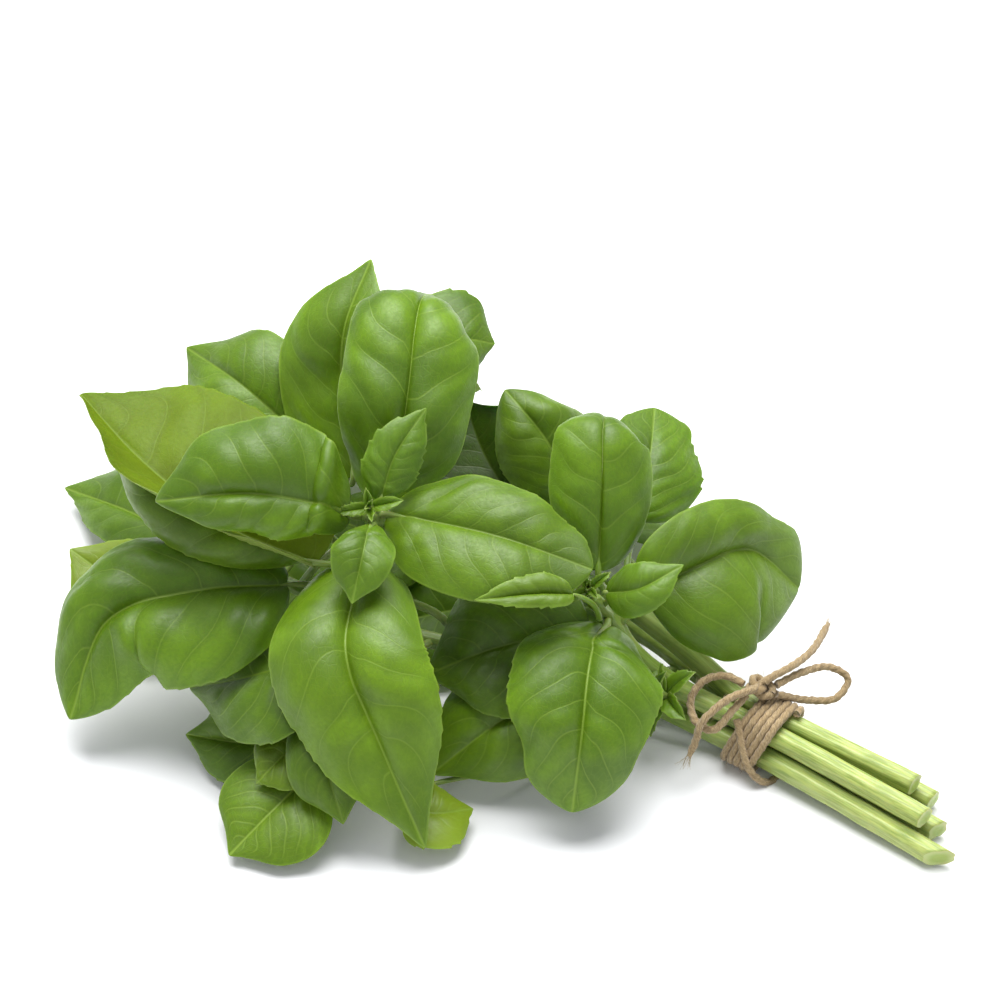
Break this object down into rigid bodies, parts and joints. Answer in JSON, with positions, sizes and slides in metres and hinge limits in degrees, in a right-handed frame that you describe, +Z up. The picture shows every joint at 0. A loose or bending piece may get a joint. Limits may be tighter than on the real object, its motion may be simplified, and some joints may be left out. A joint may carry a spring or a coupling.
{
  "type": "basil bunch",
  "caption": "Bunch of fresh basil lying on its side: leafy stems tied with jute twine in a bow near the cut ends",
  "frame": {"origin": "middle of the underside of the bounding box, on the table that the bunch lies on", "axes": "+X along the stems towards the cut ends, +Z up, +Y to the side that the tallest leaves lean away from"},
  "size_m": [0.27, 0.169, 0.0905],
  "materials": {
    "leaf": "soft sheen, paler and matt underneath",
    "young_leaf": "soft sheen",
    "stem": "smooth, slightly waxy",
    "twine": "rough twisted fibre"
  },
  "bodies": {
    "root": {"stem_a": "stem", "stem_b": "stem", "stem_c": "stem", "stem_d": "stem", "stem_e": "stem", "leaf_d11": "leaf", "leaf_d10": "leaf", "leaf_d9": "leaf", "leaf_d14": "leaf", "leaf_d13": "leaf", "leaf_d12": "leaf", "leaf_d7": "leaf", "leaf_d8": "leaf", "leaf_c6": "leaf", "leaf_c7": "leaf", "leaf_c8": "leaf", "leaf_c4": "leaf", "leaf_c2": "leaf", "leaf_e6": "leaf", "leaf_e1": "leaf", "leaf_e2": "leaf", "leaf_e3": "leaf", "leaf_e4": "leaf", "leaf_e5": "young_leaf", "leaf_c5": "leaf", "leaf_c1": "leaf", "leaf_d5": "leaf", "leaf_d6": "leaf", "leaf_b2": "leaf", "leaf_d4": "leaf", "leaf_d2": "leaf", "leaf_d1": "leaf", "leaf_c3": "leaf", "leaf_d3": "leaf", "leaf_a5": "leaf", "leaf_b1": "leaf", "leaf_b3": "leaf", "leaf_b4": "leaf", "leaf_a6": "leaf", "leaf_a1": "leaf", "leaf_a2": "leaf", "leaf_a4": "young_leaf", "leaf_a3": "young_leaf", "leaf_b6": "young_leaf", "leaf_b5": "young_leaf", "bud_a": "young_leaf", "bud_b": "young_leaf", "side_shoot": "young_leaf", "tie_turns": "twine", "knot": "twine", "twine_loop_right": "twine", "twine_loop_left": "twine", "twine_end_right": "twine", "twine_end_left": "twine"}
  },
  "joints": []
}
